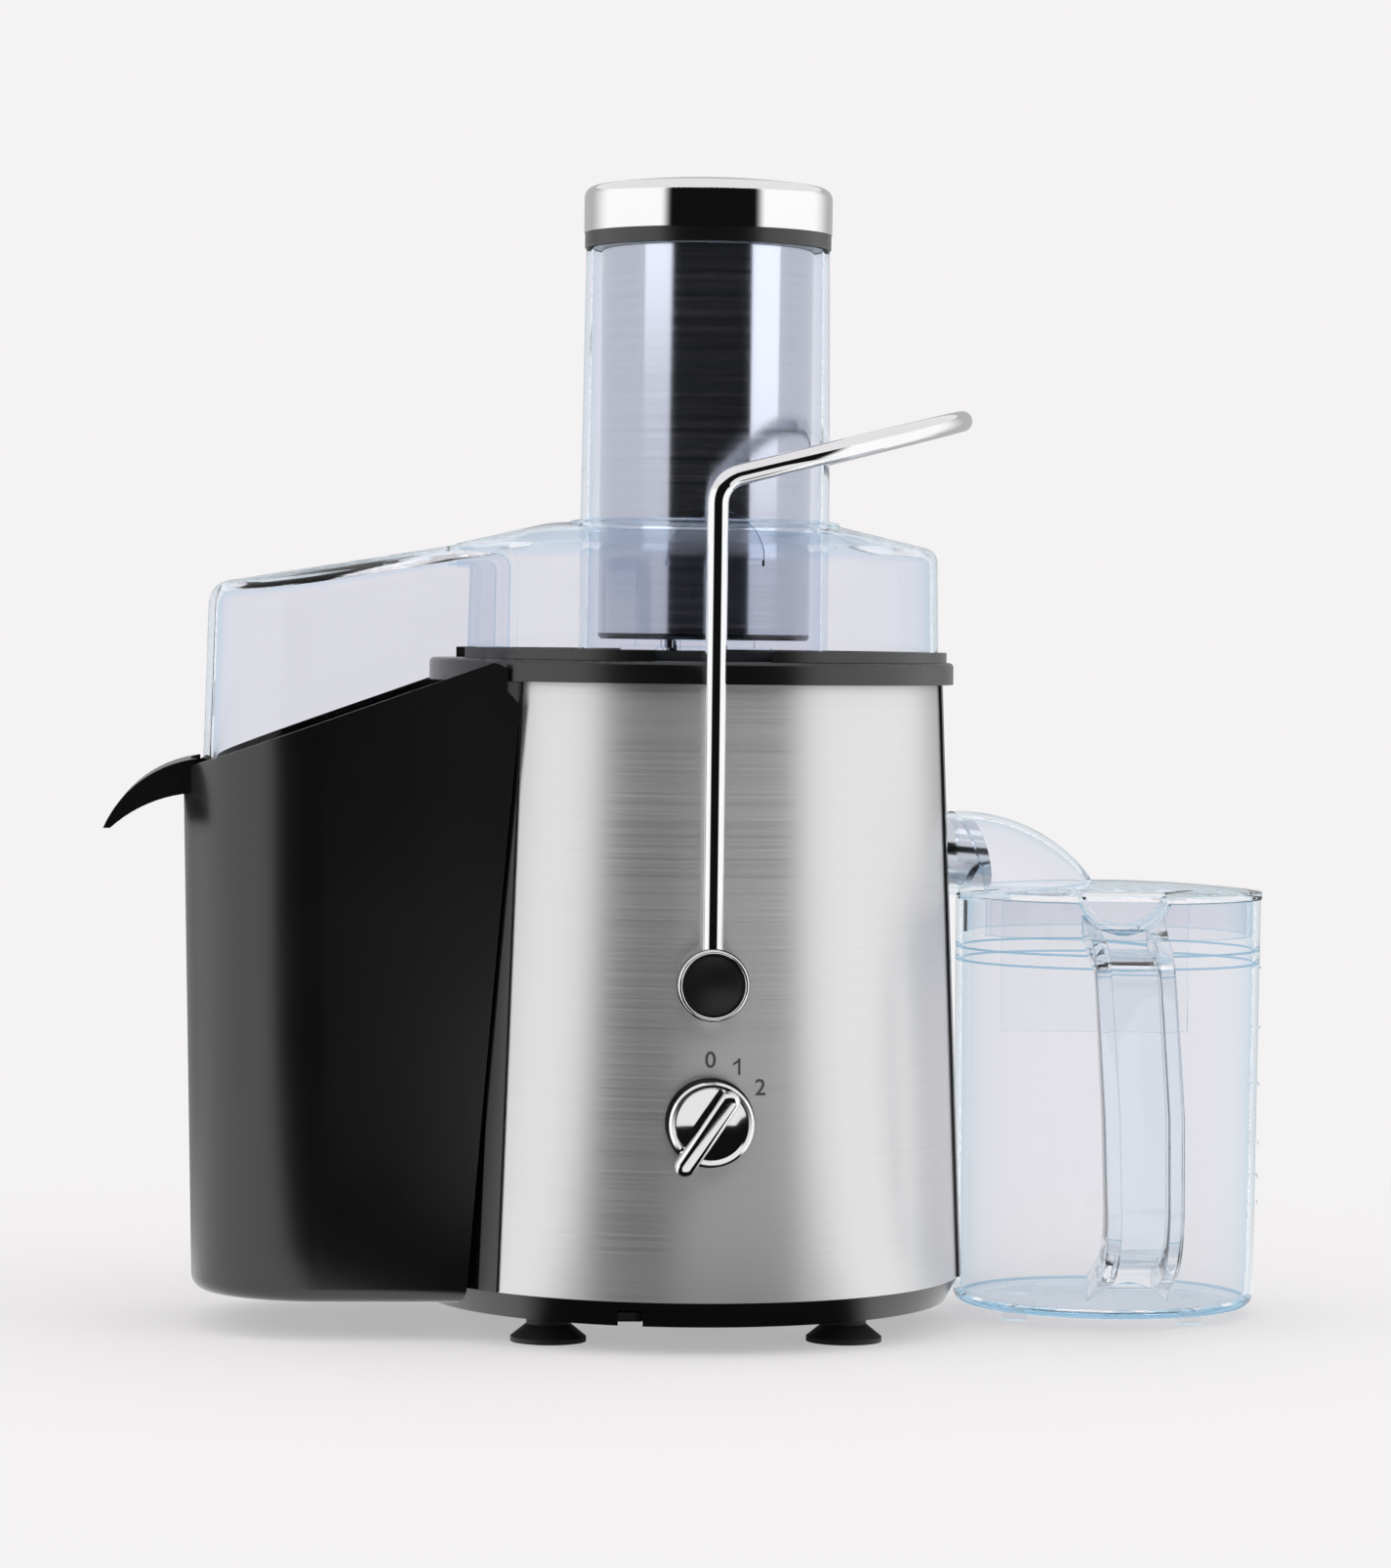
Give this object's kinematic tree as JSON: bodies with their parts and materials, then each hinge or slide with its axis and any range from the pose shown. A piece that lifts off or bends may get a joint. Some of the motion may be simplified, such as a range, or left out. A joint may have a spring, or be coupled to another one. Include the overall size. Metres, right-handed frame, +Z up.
{
  "type": "centrifugal juicer",
  "caption": "Centrifugal juicer: steel-clad tapered motor housing, clear lid with feed tube and pusher, chrome locking arm, speed knob, black pulp bin and clear juice jug with lid",
  "frame": {"origin": "centre of the footprint at table level, on the motor axis to within about 3 mm", "axes": "+X from pulp bin to juice jug, +Y from front with knob to back, +Z up"},
  "size_m": [0.4061, 0.2123, 0.3946],
  "materials": {
    "brushed_steel": "horizontal brushing",
    "polished_steel": "polished",
    "chrome": "mirror",
    "black_plastic": "satin black",
    "clear_plastic": "clear, faint blue",
    "rubber": "matte black",
    "machine_steel": "machined",
    "copper": "enamelled copper",
    "carbon": "carbon",
    "pale_plastic": "satin pale",
    "bracket_alloy": "die cast"
  },
  "bodies": {
    "base": {"base_plate": "black_plastic", "suction_feet": "rubber", "base_screws": "machine_steel", "housing_shell": "black_plastic", "front_panel": "brushed_steel", "rear_panel": "brushed_steel", "top_collar": "black_plastic", "juice_bowl": "polished_steel", "juice_spout": "polished_steel", "shaft_seal": "rubber", "motor_stator": "machine_steel", "field_coils": "copper", "upper_bracket": "bracket_alloy", "lower_bracket": "bracket_alloy", "motor_bearings": "machine_steel", "motor_bolts": "machine_steel", "motor_mounts": "rubber", "mount_screws": "machine_steel", "brush_holders": "pale_plastic", "carbon_brushes": "carbon", "arm_bushes": "pale_plastic", "knob_bezel": "black_plastic", "speed_switch": "pale_plastic", "interlock_switch": "pale_plastic", "cord_gland": "rubber"},
    "drive": {"motor_shaft": "machine_steel", "armature": "machine_steel", "commutator": "copper", "cooling_fan": "pale_plastic", "drive_coupling": "pale_plastic", "basket_base": "pale_plastic", "filter_mesh": "polished_steel", "basket_rim": "pale_plastic", "grater_disc": "polished_steel"},
    "lid": {"lid": "clear_plastic", "lid_seal": "rubber"},
    "pusher": {"pusher_body": "polished_steel", "pusher_foot": "black_plastic", "pusher_ring": "black_plastic", "pusher_cap": "chrome"},
    "arm": {"locking_arm": "chrome", "arm_hub_front": "chrome", "arm_hub_rear": "chrome", "pivot_pins": "machine_steel", "hub_cap_front": "black_plastic", "hub_cap_rear": "black_plastic"},
    "knob": {"speed_knob": "chrome", "knob_stem": "machine_steel"},
    "pulp_bin": {"pulp_bin": "black_plastic"},
    "jug": {"juice_jug": "clear_plastic"},
    "jug_lid": {"jug_lid": "clear_plastic", "froth_separator": "clear_plastic"}
  },
  "joints": [
    {"name": "drive_spin", "type": "hinge", "parent": "base", "child": "drive", "pos_m": [0, 0, 0.1], "axis": [0, 0, 1], "continuous": true},
    {"name": "lid_lift", "type": "slide", "parent": "base", "child": "lid", "axis": [0, 0, 1], "range_m": [0, 0.12]},
    {"name": "pusher_lift", "type": "slide", "parent": "lid", "child": "pusher", "axis": [0, 0, 1], "range_m": [0, 0.15]},
    {"name": "arm_swing", "type": "hinge", "parent": "base", "child": "arm", "pos_m": [0, 0, 0.1232], "axis": [0, 1, 0], "range_deg": [0, 50]},
    {"name": "knob_turn", "type": "hinge", "parent": "base", "child": "knob", "pos_m": [0, -0.1, 0.0775], "axis": [0, 1, 0], "range_deg": [-34, 18]},
    {"name": "bin_pull", "type": "slide", "parent": "base", "child": "pulp_bin", "axis": [-1, 0, 0], "range_m": [0, 0.14]},
    {"name": "jug_slide", "type": "slide", "parent": "base", "child": "jug", "axis": [0.9863, 0.165, 0], "range_m": [0, 0.14]},
    {"name": "jug_lid_lift", "type": "slide", "parent": "jug", "child": "jug_lid", "axis": [0, 0, 1], "range_m": [0, 0.07]}
  ]
}
